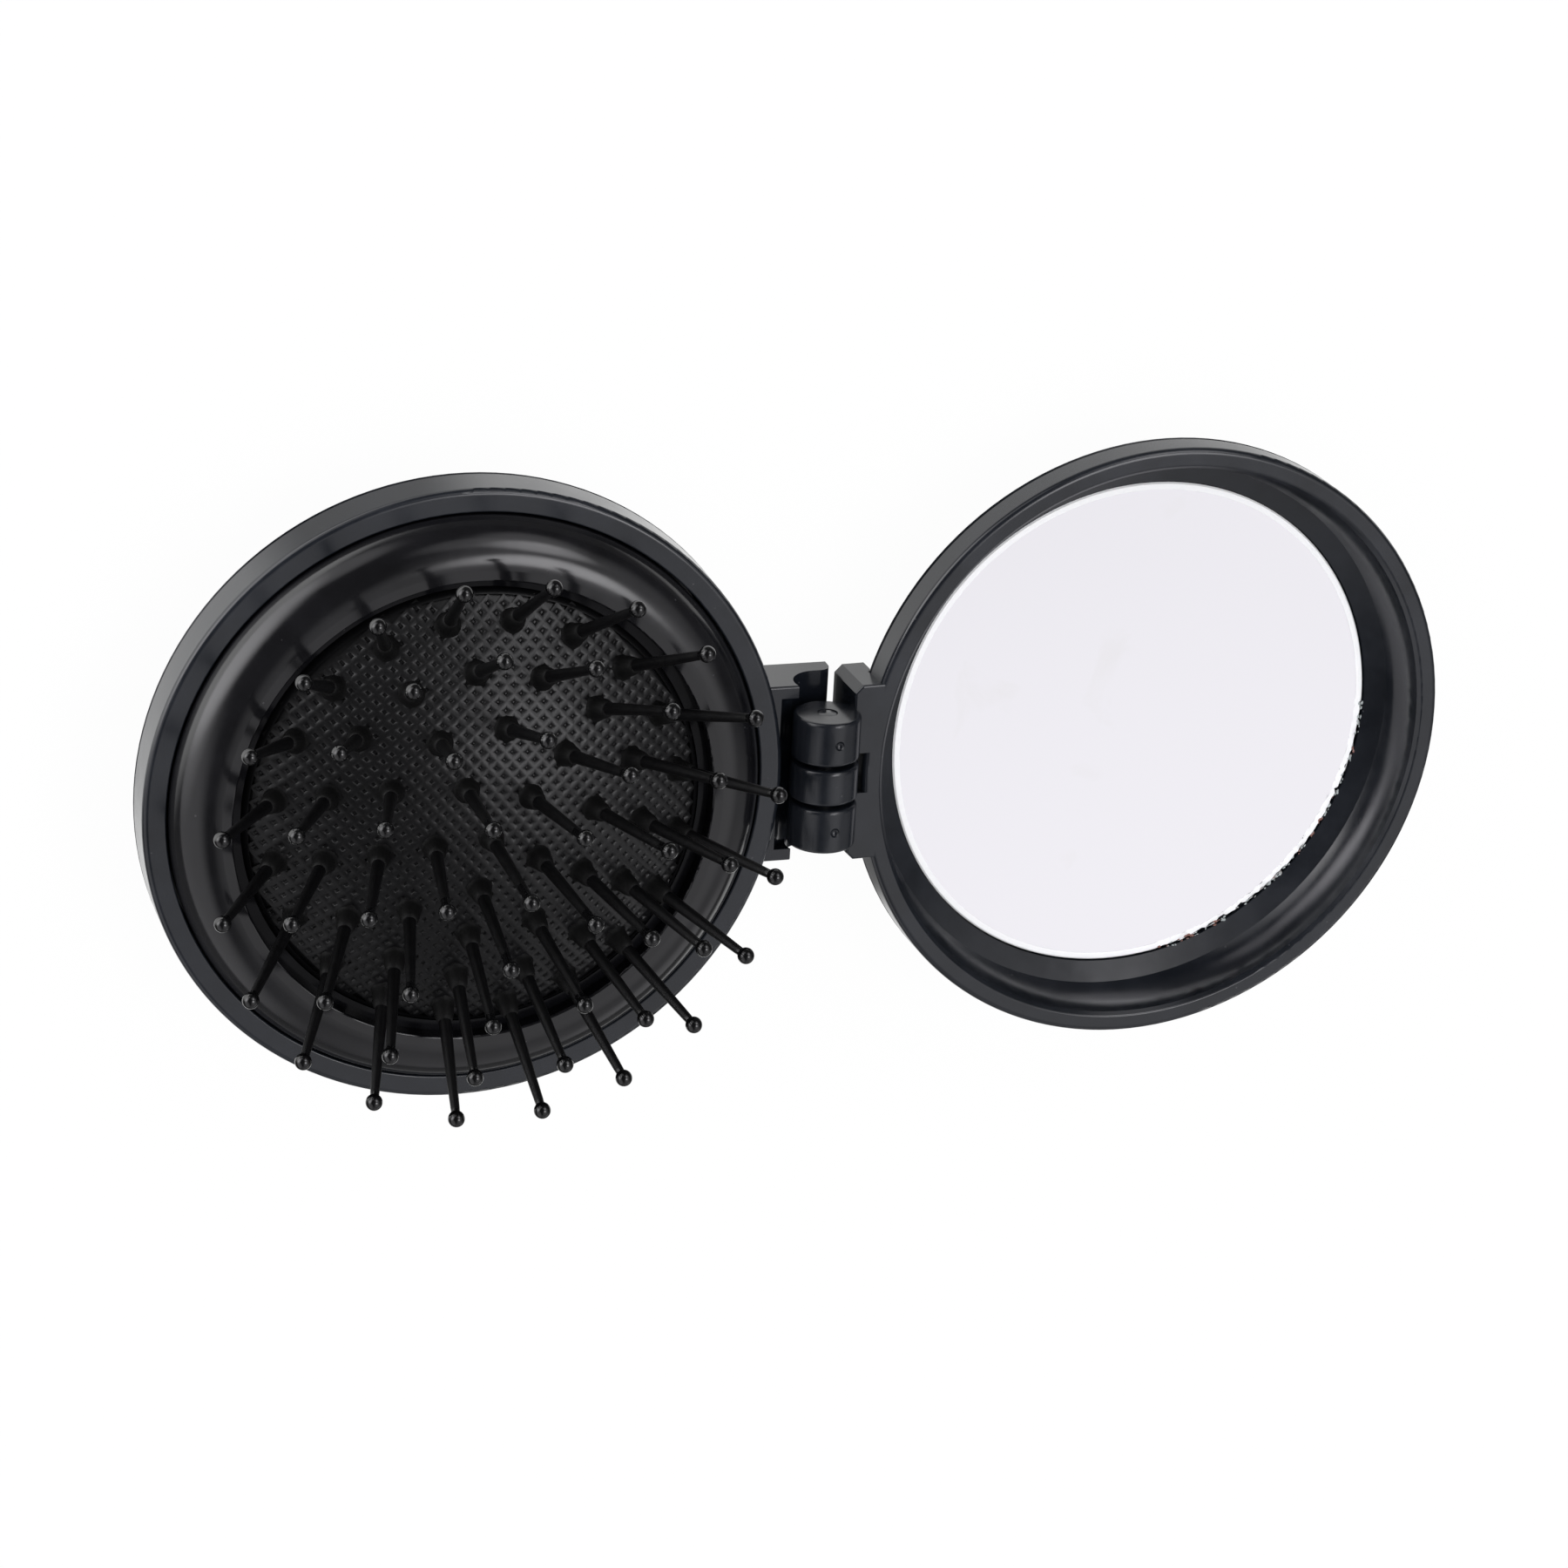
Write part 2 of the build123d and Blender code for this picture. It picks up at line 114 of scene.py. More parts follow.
studio = {
    "floor": 4.0,                         # m across
    "floorDrop": 0.0002,                  # m below the object
    "paper": "#FAFAFA",
    "floorGlow": 0.97,                    # share of the floor that shows as plain white
    "roomLevel": 0.1,                     # dim room between the soft boxes
    "tint": "#F8F7FA",
    # soft boxes painted on the world: azimuth from +X, height, full to, gone by (degrees), level
    "softBoxes": {
        "leftBox": (152, 5, 10, 35, 3.6),
        "leftBoxEdge": (170, 9, 8, 33, 0.9),
        "leftBoxWing": (116, 12, 6, 20, 1.1),
        "window": (14, 67, 4, 16, 4.6),
        "windowEnd": (53, 43, 4, 14, 3.2),
        "windowTail": (78, 42, 4, 14, 0.7),
        "windowHalo": (28, 50, 12, 38, 0.55),
        "lowEnd": (61, 28, 4, 17, 0.9),
        "bridge": (42, 60, 3, 11, 0.25),
        "frontGlow": (-150, 10, 28, 52, 0.82),
        "backCard": (-24, 65, 6, 36, 0.54),
        "middleCard": (-60, 25, 15, 54, 0.45),
        "sideCard": (-50, 8, 4, 18, 0.35),
    },
    # what gloss sees of the floor: white round the object, dark further off but for the glare
    # of the left box
    "nearFloor": (48.0, 72.0),            # mm from the middle of case or lid, from white to dark
    "nearLevel": 0.98,
    "nearBoost": 1.2,                     # towards the left box
    "boostSpread": (0.2, 1.0),            # cosine off its direction, from no boost to all of it
    # shaded spots on that floor, by the hinge and beside the case:
    # middle, full to, gone by (mm), level
    "shades": (((2.0, -8.0), 14.0, 20.0, 0.3), ((-50.0, 40.0), 9.0, 21.0, 0.42)),
    "farLevel": 0.12,
    "glareTurn": 152,                     # degrees from +X
    "glareSpread": (0.75, 0.97),          # cosine off that direction, from dark to full glare
    "glareLevel": 2.6,
    # a wide fill overhead that gloss doesn't show: height and size in m, power in W
    "fill": (1.2, 1.2, 6.5),
}


def floorInGloss(paper, place):
    # how bright each spot of the floor is to gloss
    apart = [addNode(paper, "ShaderNodeVectorMath",
                     {"operation": "DISTANCE", 1: (middle.x, middle.y, 0)}, {0: place})
             for middle in (caseMiddle, lidPlace.to_translation())]
    reach = addNode(paper, "ShaderNodeMath", {"operation": "MINIMUM"},
                    {0: apart[0].outputs["Value"], 1: apart[1].outputs["Value"]})
    turn = math.radians(studio["glareTurn"])
    ahead = addNode(paper, "ShaderNodeVectorMath", {"operation": "NORMALIZE"}, {0: place})
    ahead = addNode(paper, "ShaderNodeVectorMath",
                    {"operation": "DOT_PRODUCT", 1: (math.cos(turn), math.sin(turn), 0)},
                    {0: ahead.outputs[0]})
    glareFrom, glareFull = studio["glareSpread"]
    glare = addNode(paper, "ShaderNodeMapRange",
                    {"interpolation_type": "SMOOTHSTEP", "From Min": glareFrom,
                     "From Max": glareFull, "To Min": studio["farLevel"],
                     "To Max": studio["glareLevel"]}, {"Value": ahead.outputs["Value"]})
    boostFrom, boostFull = studio["boostSpread"]
    brim = addNode(paper, "ShaderNodeMapRange",
                   {"From Min": boostFrom, "From Max": boostFull, "To Min": studio["nearLevel"],
                    "To Max": studio["nearLevel"] * studio["nearBoost"]},
                   {"Value": ahead.outputs["Value"]})
    whiteTo, darkFrom = studio["nearFloor"]
    fade = addNode(paper, "ShaderNodeMapRange",
                   {"interpolation_type": "SMOOTHSTEP", "From Min": whiteTo * mm,
                    "From Max": darkFrom * mm}, {"Value": reach.outputs[0]})
    level = addNode(paper, "ShaderNodeMix", {"data_type": "FLOAT"},
                    {0: fade.outputs[0], "A": brim.outputs[0], "B": glare.outputs[0]})
    for (x, y), fullTo, goneBy, shadeLevel in studio["shades"]:
        off = addNode(paper, "ShaderNodeVectorMath",
                      {"operation": "DISTANCE", 1: (x * mm, y * mm, 0)}, {0: place})
        shade = addNode(paper, "ShaderNodeMapRange",
                        {"interpolation_type": "SMOOTHSTEP", "From Min": fullTo * mm,
                         "From Max": goneBy * mm, "To Min": shadeLevel, "To Max": 1.0},
                        {"Value": off.outputs["Value"]})
        level = addNode(paper, "ShaderNodeMath", {"operation": "MULTIPLY"},
                        {0: level.outputs[0], 1: shade.outputs[0]})
    return level.outputs[0]


def addFloor():
    bpy.ops.mesh.primitive_plane_add(size=studio["floor"], location=(0, 0, -studio["floorDrop"]))
    floor = bpy.context.object
    floor.name = "floor"
    paper = newMaterial("paperSweep")
    place = addNode(paper, "ShaderNodeTexCoord")
    diffuse = addNode(paper, "ShaderNodeBsdfDiffuse", {"Color": hexColor(studio["paper"])})
    # the camera sees it almost plain white, gloss and glass see the levels of floorInGloss,
    # and all other light sees the paper itself
    path = addNode(paper, "ShaderNodeLightPath")
    shown = addNode(paper, "ShaderNodeMix", {"data_type": "FLOAT", "B": 1.0},
                    {0: path.outputs["Is Camera Ray"],
                     "A": floorInGloss(paper, place.outputs["Object"])})
    glow = addNode(paper, "ShaderNodeEmission", {"Color": hexColor("#FFFFFF")},
                   {"Strength": shown.outputs[0]})
    seen = addNode(paper, "ShaderNodeMath", {"operation": "ADD"},
                   {0: path.outputs["Is Camera Ray"], 1: path.outputs["Is Glossy Ray"]})
    seen = addNode(paper, "ShaderNodeMath", {"operation": "ADD", "use_clamp": True},
                   {0: seen.outputs[0], 1: path.outputs["Is Transmission Ray"]})
    share = addNode(paper, "ShaderNodeMath", {"operation": "MULTIPLY", 1: studio["floorGlow"]},
                    {0: seen.outputs[0]})
    mix = addNode(paper, "ShaderNodeMixShader", {},
                  {0: share.outputs[0], 1: diffuse.outputs[0], 2: glow.outputs[0]})
    addNode(paper, "ShaderNodeOutputMaterial", {}, {"Surface": mix.outputs[0]})
    floor.data.materials.append(paper)


def addWorld():
    world = bpy.data.worlds.new("studioWorld")
    world.use_nodes = True
    world.node_tree.nodes.clear()
    place = addNode(world, "ShaderNodeTexCoord")
    level = addNode(world, "ShaderNodeValue").outputs[0]
    level.default_value = studio["roomLevel"]
    for azimuth, height, fullTo, goneBy, strength in studio["softBoxes"].values():
        turn, rise = math.radians(azimuth), math.radians(height)
        middle = (math.cos(rise) * math.cos(turn), math.cos(rise) * math.sin(turn), math.sin(rise))
        near = addNode(world, "ShaderNodeVectorMath", {"operation": "DOT_PRODUCT", 1: middle},
                       {0: place.outputs["Generated"]})
        box = addNode(world, "ShaderNodeMapRange",
                      {"interpolation_type": "SMOOTHSTEP",
                       "From Min": math.cos(math.radians(goneBy)),
                       "From Max": math.cos(math.radians(fullTo)), "To Max": strength},
                      {"Value": near.outputs["Value"]})
        total = addNode(world, "ShaderNodeMath", {"operation": "ADD"},
                        {0: level, 1: box.outputs[0]})
        level = total.outputs[0]
    # the camera sees plain white behind the object
    path = addNode(world, "ShaderNodeLightPath")
    shown = addNode(world, "ShaderNodeMix", {"data_type": "FLOAT", "B": 1.0},
                    {0: path.outputs["Is Camera Ray"], "A": level})
    tint = addNode(world, "ShaderNodeMix",
                   {"data_type": "RGBA", firstColor: hexColor(studio["tint"]),
                    secondColor: hexColor("#FFFFFF")}, {0: path.outputs["Is Camera Ray"]})
    sky = addNode(world, "ShaderNodeBackground", {},
                  {"Color": tint.outputs[mixedColor], "Strength": shown.outputs[0]})
    addNode(world, "ShaderNodeOutputWorld", {}, {"Surface": sky.outputs[0]})
    bpy.context.scene.world = world


def addFill():
    height, size, power = studio["fill"]
    data = bpy.data.lights.new("overheadFill", "AREA")
    data.size = size
    data.energy = power
    fill = bpy.data.objects.new("overheadFill", data)
    fill.location = (0, 0, height)
    fill.visible_glossy = False
    bpy.context.scene.collection.objects.link(fill)


def selectOnly(piece):
    bpy.ops.object.select_all(action="DESELECT")
    piece.select_set(True)
    bpy.context.view_layer.objects.active = piece


def applyPlace():
    bpy.ops.object.transform_apply(location=True, rotation=True, scale=True)


def smoothFaces(upTo):
    bpy.ops.object.shade_smooth_by_angle(angle=math.radians(upTo))


def startEdit(piece, pick="DESELECT"):
    # into edit mode by vertices, with nothing selected, or with everything
    selectOnly(piece)
    bpy.ops.object.mode_set(mode="EDIT")
    bpy.ops.mesh.select_mode(type="VERT")
    bpy.ops.mesh.select_all(action=pick)


def pickFaces(piece, wanted):
    # leaves edit mode, selects the faces whose middle and normal suit, comes back in face mode
    bpy.ops.object.mode_set(mode="OBJECT")
    for polygon in piece.data.polygons:
        polygon.select = wanted(polygon.center, polygon.normal)
    bpy.ops.object.mode_set(mode="EDIT")
    bpy.ops.mesh.select_mode(type="FACE")


def faceOutwards():
    bpy.ops.mesh.select_all(action="SELECT")
    bpy.ops.mesh.normals_make_consistent(inside=False)


def endEdit():
    bpy.ops.object.mode_set(mode="OBJECT")
    applyPlace()


def useModifier(piece, kind, **settings):
    modifier = piece.modifiers.new(kind.lower(), kind)
    for key, value in settings.items():
        setattr(modifier, key, value)
    selectOnly(piece)
    bpy.ops.object.modifier_apply(modifier=modifier.name)


def drawRing(name, points, steps, foot):
    # a ring of edges is raised and drawn in or out through steps of radius and height over
    # the foot, in mm; it stays in edit mode, with the last ring selected
    (lastRadius, lastHeight), *rest = steps
    bpy.ops.mesh.primitive_circle_add(vertices=points, radius=lastRadius * mm,
                                      fill_type="NOTHING", location=above(foot, lastHeight))
    ring = bpy.context.object
    ring.name = name
    applyPlace()
    startEdit(ring, "SELECT")
    for radius, height in rest:
        rise = (0, 0, (height - lastHeight) * mm)
        bpy.ops.mesh.extrude_region_move(TRANSFORM_OT_translate={"value": rise})
        share = radius / lastRadius
        bpy.ops.transform.resize(value=(share, share, 1), center_override=above(foot, height))
        lastRadius, lastHeight = radius, height
    return ring


def joinPieces(pieces, name):
    bpy.context.view_layer.update()
    selectOnly(pieces[0])
    for piece in pieces[1:]:
        piece.select_set(True)
    bpy.ops.object.join()
    pieces[0].name = name
    applyPlace()
    return pieces[0]


def copyTo(places, model, name):
    # the model at each of the places, joined in one piece
    placed = []
    for place in places:
        copy = model.copy()
        copy.data = model.data.copy()
        bpy.context.scene.collection.objects.link(copy)
        copy.matrix_world = place
        placed.append(copy)
    bpy.data.objects.remove(model)
    return joinPieces(placed, name)


cushion = {
    "points": 128,
    "domeRadius": 38.75,       # mm
    "domeDrop": 29.15,         # middle of the sphere below the rim
    "edge": 23.25,             # the dome ends here
    "edgeRound": 0.25,         # width and height of the bevel at its edge
    "bead": (24.2, 0.2, 0.6),  # radius, lower and upper end over the rim
    "beadSlope": 0.05,         # rise from the bead in to the edge of the dome
    "thick": 0.95,
    "margin": 22.75,           # plain border outside the weave
    "borderRise": 0.02,        # the border over the dome
    "borderStep": 0.1,         # from the border in to the floor under the weave
    "floorRings": range(21, 0, -2),
    "floorDrop": 0.04,         # the floor below the bottom of the pits
    "tip": 0.01,               # the crown over the last ring
    "foldHeight": 1.05,        # over the rim
    "smoothUpTo": 40,          # degrees
}
weave = {
    "cells": 42,
    "pitch": 1.11,             # mm
    "turn": 41.0,              # degrees
    # each cell steps in by a share of the pitch and down in mm: a rounded rib, then a small pit
    "cellSteps": ((0.08, 0.006), (0.11, 0.024), (0.10, 0.05), (0.09, 0.10), (0.07, 0.10)),
    "drawnAt": 14,             # mm over the rim, clear above the crown
    "former": (192, 144),      # segments and rings of the sphere that it is laid on
    "smoothUpTo": 50,
}


def domeHeight(radius, drop=0.0):
    return math.sqrt((cushion["domeRadius"] - drop) ** 2 - radius ** 2) - cushion["domeDrop"]


def cushionBody():
    # the shell goes up from the bead, over the plain border, and down to a floor that closes
    # the cushion under the weave
    beadRadius, beadLow, beadHigh = cushion["bead"]
    edge, margin, rise = cushion["edge"], cushion["margin"], cushion["borderRise"]
    inner = edge - cushion["edgeRound"]
    floorDrop = sum(depth for share, depth in weave["cellSteps"]) + cushion["floorDrop"]
    steps = [(beadRadius, beadLow), (beadRadius, beadHigh), (edge, beadHigh + cushion["beadSlope"]),
             (edge, domeHeight(edge) - cushion["edgeRound"]), (inner, domeHeight(inner) + rise),
             (margin, domeHeight(margin) + rise),
             (margin - cushion["borderStep"], domeHeight(margin, floorDrop))]
    steps += [(radius, domeHeight(radius, floorDrop)) for radius in cushion["floorRings"]]
    body = drawRing("cushionBody", cushion["points"], steps, caseMiddle)
    tip = (0, 0, cushion["tip"] * mm)
    bpy.ops.mesh.extrude_region_move(TRANSFORM_OT_translate={"value": tip})
    bpy.ops.mesh.merge(type="CENTER")
    faceOutwards()
    endEdit()
    useModifier(body, "SOLIDIFY", thickness=cushion["thick"] * mm, offset=-1)
    smoothFaces(cushion["smoothUpTo"])
    return body


def cushionWeave():
    # a square grid laid over the dome; every cell is sunk between ribs
    cells, pitch = weave["cells"], weave["pitch"]
    top = above(caseMiddle, weave["drawnAt"])
    bpy.ops.mesh.primitive_grid_add(x_subdivisions=cells, y_subdivisions=cells,
                                    size=cells * pitch * mm, location=top,
                                    rotation=(0, 0, math.radians(weave["turn"])))
    cloth = bpy.context.object
    cloth.name = "cushionWeave"
    applyPlace()
    startEdit(cloth)
    reach = (cushion["margin"] - cushion["borderStep"]) * mm
    pickFaces(cloth, lambda middle, normal: (middle - top).length > reach)
    bpy.ops.mesh.delete(type="FACE")
    bpy.ops.object.mode_set(mode="OBJECT")
    segments, rings = weave["former"]
    bpy.ops.mesh.primitive_uv_sphere_add(segments=segments, ring_count=rings,
                                         radius=cushion["domeRadius"] * mm,
                                         location=above(caseMiddle, -cushion["domeDrop"]))
    former = bpy.context.object
    useModifier(cloth, "SHRINKWRAP", target=former, wrap_method="PROJECT", use_project_z=True,
                use_negative_direction=True, use_positive_direction=False)
    bpy.data.objects.remove(former)
    startEdit(cloth)
    bpy.ops.mesh.select_mode(type="FACE")
    bpy.ops.mesh.select_all(action="SELECT")
    for share, depth in weave["cellSteps"]:
        bpy.ops.mesh.inset(thickness=share * pitch * mm, depth=-depth * mm, use_individual=True)
    endEdit()
    smoothFaces(weave["smoothUpTo"])
    return cloth


bosses = {
    # ring: radius of the feet, first pin (degrees), pins, lean (degrees)
    "rings": ((20.6, 9.7, 20, 33.45), (16.1, 21.8, 15, 25.48), (10.9, 9.3, 10, 17.0),
              (5.6, 44.4, 5, 8.65), (0.0, 0.0, 1, 0.0)),
    # the collar of rubber round a pin: radius, and height over the dome, mm
    "profile": ((1.5, -0.35), (1.36, -0.1), (1.2, 0.08), (1.12, 0.35), (1.05, 0.9), (0.98, 1.4),
                (0.88, 1.75), (0.78, 2.0), (0.6, 2.15)),
    "points": 18,
    "smoothUpTo": 50,          # degrees
}


def pinBosses():
    model = drawRing("pinBoss", bosses["points"], bosses["profile"], origin)
    bpy.ops.mesh.fill()
    faceOutwards()
    endEdit()
    smoothFaces(bosses["smoothUpTo"])
    places = []
    for radius, first, count, lean in bosses["rings"]:
        foot = Vector((radius, 0, domeHeight(radius))) * mm
        leaning = Matrix.Translation(foot) @ Matrix.Rotation(math.radians(lean), 4, "Y")
        for i in range(count):
            turn = Matrix.Rotation(math.radians(first + i * 360 / count), 4, "Z")
            places.append(Matrix.Translation(caseMiddle) @ turn @ leaning)
    return copyTo(places, model, "pinBosses")


pinPlug = {
    "radius": 1.0,             # mm
    "from": 6.58,              # along the hinge, clear of the steel pin
    "to": 7.06,                # just under the end of the knuckle
    "round": 0.08,
    "points": 40,
    "smoothUpTo": 40,          # degrees
}


def pinPlugs():
    # black plugs that close both ends of the hinge pin's hole
    length = pinPlug["to"] - pinPlug["from"]
    placed = []
    for side in (-1, 1):
        middle = hingeLine + Vector((0, side * (pinPlug["from"] + length / 2), 0)) * mm
        bpy.ops.mesh.primitive_cylinder_add(vertices=pinPlug["points"], depth=length * mm,
                                            radius=pinPlug["radius"] * mm, location=middle,
                                            rotation=(math.radians(-90 * side), 0, 0))
        plug = bpy.context.object
        applyPlace()
        startEdit(plug)
        pickFaces(plug, lambda face, normal: normal.y * side > 0.9)
        bpy.ops.mesh.bevel(offset=pinPlug["round"] * mm, segments=3)
        endEdit()
        smoothFaces(pinPlug["smoothUpTo"])
        placed.append(plug)
    return joinPieces(placed, "pinPlugs")


mirrorEdge = {
    # radius, and height from the lid's rim, mm
    "profile": ((26.25, -6.27), (26.42, -6.24), (26.84, -6.25), (27.0, -6.42)),
    "points": 360,
    "thick": 0.03,
    "chipped": (-78, 2),       # degrees, where the edge is chipped
    "bite": 0.3,               # mm, deepest chip
    "biteDrop": 0.25,          # share of a chip's depth by which it also sinks
    "seed": 5,
    "smoothUpTo": 30,          # degrees
}
splinter = {
    "count": 110,
    "size": (0.12, 0.34),      # least and most, against the model below
    "radius": (26.7, 27.25),   # mm from the middle of the glass
    "height": (-6.36, -6.22),  # mm from the lid's rim
    "swing": (1.0, 2.1),       # radians off the line from the middle of the glass
    "tilt": (0.5, 0.4),        # radians either way about X and Y
    "seed": 11,
    # the model: a flattened cone of five sides, mm
    "foot": 1.0,
    "top": 0.45,
    "tall": 0.7,
    "points": 5,
    "flatten": (1, 0.55, 0.6),
}


def mirrorEdgeRing():
    # the ground edge of the glass: a narrow bright band, gnawed where the glass has chipped
    edge = drawRing("mirrorEdge", mirrorEdge["points"], mirrorEdge["profile"], origin)
    bpy.ops.object.mode_set(mode="OBJECT")
    chance = random.Random(mirrorEdge["seed"])
    low, high = (math.radians(turn) for turn in mirrorEdge["chipped"])
    for vertex in edge.data.vertices:
        turn = math.atan2(vertex.co.y, vertex.co.x)
        if low < turn < high:
            depth = mirrorEdge["bite"] * chance.random() ** 2 * mm
            radius = math.hypot(vertex.co.x, vertex.co.y)
            vertex.co.x *= (radius - depth) / radius
            vertex.co.y *= (radius - depth) / radius
            vertex.co.z -= mirrorEdge["biteDrop"] * depth
    startEdit(edge)
    faceOutwards()
    endEdit()
    useModifier(edge, "SOLIDIFY", thickness=mirrorEdge["thick"] * mm, offset=-1)
    edge.matrix_world = lidPlace
    applyPlace()
    smoothFaces(mirrorEdge["smoothUpTo"])
    return edge


def edgeChips():
    # splinters of glass and specks of old adhesive caught along the chipped part of the edge
    bpy.ops.mesh.primitive_cone_add(vertices=splinter["points"], radius1=splinter["foot"] * mm,
                                    radius2=splinter["top"] * mm, depth=splinter["tall"] * mm,
                                    location=origin)
    model = bpy.context.object
    startEdit(model, "SELECT")
    bpy.ops.transform.resize(value=splinter["flatten"], center_override=origin)
    endEdit()
    chance = random.Random(splinter["seed"])
    tiltX, tiltY = splinter["tilt"]
    places = []
    for i in range(splinter["count"]):
        size = chance.uniform(*splinter["size"])
        turn = math.radians(chance.uniform(*mirrorEdge["chipped"]))
        radius = chance.uniform(*splinter["radius"])
        height = chance.uniform(*splinter["height"])
        spot = Vector((radius * math.cos(turn), radius * math.sin(turn), height)) * mm
        tilt = (Matrix.Rotation(chance.uniform(-tiltX, tiltX), 4, "X")
                @ Matrix.Rotation(chance.uniform(-tiltY, tiltY), 4, "Y"))
        swing = Matrix.Rotation(turn + chance.uniform(*splinter["swing"]), 4, "Z")
        places.append(lidPlace @ Matrix.Translation(spot) @ swing @ tilt @ Matrix.Scale(size, 4))
    return copyTo(places, model, "edgeChips")


# ground glass edge: frosted, bright wherever light reaches it
def groundGlass():
    material = newMaterial("groundGlassEdge")
    place = addNode(material, "ShaderNodeTexCoord")
    frost = addNode(material, "ShaderNodeTexNoise", {"Scale": 1 / (0.3 * mm), "Detail": 3.0},
                    {"Vector": place.outputs["Object"]})
    shade = addNode(material, "ShaderNodeMix",
                    {"data_type": "RGBA", firstColor: hexColor("#F6F8FA"),
                     secondColor: hexColor("#FFFFFF")}, {0: frost.outputs[0]})
    body = addNode(material, "ShaderNodeBsdfPrincipled", {"Roughness": 0.3, "IOR": 1.52},
                   {"Base Color": shade.outputs[mixedColor]})
    addNode(material, "ShaderNodeOutputMaterial", {}, {"Surface": body.outputs[0]})
    return material


# glass splinters, some stained by brown adhesive
def chipGlass():
    material = newMaterial("chippedGlass")
    place = addNode(material, "ShaderNodeTexCoord")
    stain = addNode(material, "ShaderNodeTexNoise", {"Scale": 1 / (2.0 * mm), "Detail": 1.0},
                    {"Vector": place.outputs["Object"]})
    brown = addNode(material, "ShaderNodeMapRange", {"From Min": 0.5, "From Max": 0.58},
                    {"Value": stain.outputs[0]})
    shade = addNode(material, "ShaderNodeMix",
                    {"data_type": "RGBA", firstColor: hexColor("#A9B0B0"),
                     secondColor: hexColor("#86625A")}, {0: brown.outputs[0]})
    body = addNode(material, "ShaderNodeBsdfPrincipled", {"Roughness": 0.15, "IOR": 1.52},
                   {"Base Color": shade.outputs[mixedColor]})
    addNode(material, "ShaderNodeOutputMaterial", {}, {"Surface": body.outputs[0]})
    return material


def brushRadius(material, place):
    # distance from the axis of the brush case
    flat = addNode(material, "ShaderNodeVectorMath", {"operation": "MULTIPLY", 1: (1, 1, 0)},
                   {0: place.outputs["Object"]})
    reach = addNode(material, "ShaderNodeVectorMath",
                    {"operation": "DISTANCE", 1: (caseMiddle.x, caseMiddle.y, 0)},
                    {0: flat.outputs[0]})
    return reach.outputs["Value"]


absFinishes = {
    # the case, the lid and the parts under the cushion, as they come from the mould
    "mouldedAbs": {"color": "#0F1217", "worn": "#1E2127", "roughness": 0.17, "ripple": 0.05,
                   "shadedInside": None},
    # the bezel; its last entry is the radius in mm within which the gloss is turned down: painted
    # shade down in the groove beside the cushion
    "polishedAbs": {"color": "#0B0B0D", "worn": "#151518", "roughness": 0.13, "ripple": 0.03,
                    "shadedInside": 24.45},
}


# black ABS: a hard gloss with faint ripples, duller patches where fingers hold it, and some dust
def blackAbs(name):
    finish = absFinishes[name]
    roughness = finish["roughness"]
    material = newMaterial(name)
    place = addNode(material, "ShaderNodeTexCoord")
    peel = addNode(material, "ShaderNodeTexNoise", {"Scale": 1 / (2.6 * mm), "Detail": 2.0},
                   {"Vector": place.outputs["Object"]})
    bump = addNode(material, "ShaderNodeBump",
                   {"Strength": finish["ripple"], "Distance": 0.02 * mm},
                   {"Height": peel.outputs[0]})
    grease = addNode(material, "ShaderNodeTexNoise",
                     {"Scale": 1 / (9.0 * mm), "Detail": 6.0, "Roughness": 0.65},
                     {"Vector": place.outputs["Object"]})
    dull = addNode(material, "ShaderNodeMapRange",
                   {"From Min": 0.38, "From Max": 0.68, "To Min": roughness * 0.8,
                    "To Max": roughness * 1.5}, {"Value": grease.outputs[0]})
    tone = addNode(material, "ShaderNodeMapRange", {"From Min": 0.35, "From Max": 0.75},
                   {"Value": grease.outputs[0]})
    shade = addNode(material, "ShaderNodeMix",
                    {"data_type": "RGBA", firstColor: hexColor(finish["color"]),
                     secondColor: hexColor(finish["worn"])}, {0: tone.outputs[0]})
    dust = addNode(material, "ShaderNodeTexVoronoi", {"Scale": 1 / (2.4 * mm)},
                   {"Vector": place.outputs["Object"]})
    speck = addNode(material, "ShaderNodeMapRange",
                    {"From Min": 0.03, "From Max": 0.05, "To Min": 0.5, "To Max": 0.0},
                    {"Value": dust.outputs[0]})
    dusty = addNode(material, "ShaderNodeMix",
                    {"data_type": "RGBA", secondColor: hexColor("#4A4A4C")},
                    {0: speck.outputs[0], firstColor: shade.outputs[mixedColor]})
    body = addNode(material, "ShaderNodeBsdfPrincipled", {"IOR": 1.53},
                   {"Base Color": dusty.outputs[mixedColor], "Roughness": dull.outputs[0],
                    "Normal": bump.outputs[0]})
    if finish["shadedInside"] is not None:
        # painted shade: the gloss is turned down on the bezel's inner face, where it lies deep in
        # the groove by the cushion
        blur = 0.05            # mm either way
        sheen = addNode(material, "ShaderNodeMapRange",
                        {"From Min": (finish["shadedInside"] - blur) * mm,
                         "From Max": (finish["shadedInside"] + blur) * mm,
                         "To Min": 0.1, "To Max": 0.5}, {"Value": brushRadius(material, place)})
        material.node_tree.links.new(sheen.outputs[0], body.inputs["Specular IOR Level"])
    addNode(material, "ShaderNodeOutputMaterial", {}, {"Surface": body.outputs[0]})
    return material


rubber = {
    "color": "#060607",
    "bloom": "#0E0E0F",
    "roughness": 0.37,
    "sheen": (0.44, 0.14),     # on the weave, and out at the edge of the dome: a duller plain border, and painted shade by the deep groove there
    "sheenStep": 0.2,          # mm inside the plain border, where it starts to fall
    # painted shade: the sheen is turned down on the side away from the hinge and the light, and
    # comes back this way
    "sheenLitAlong": (0.8, 0.6, 0),
    "sheenLitSpread": (-16, 19),   # mm past the middle of the case, from shaded to lit
    "sheenLitShare": (0.5, 1.1),        # share of the sheen on the shaded side and on the lit side
}


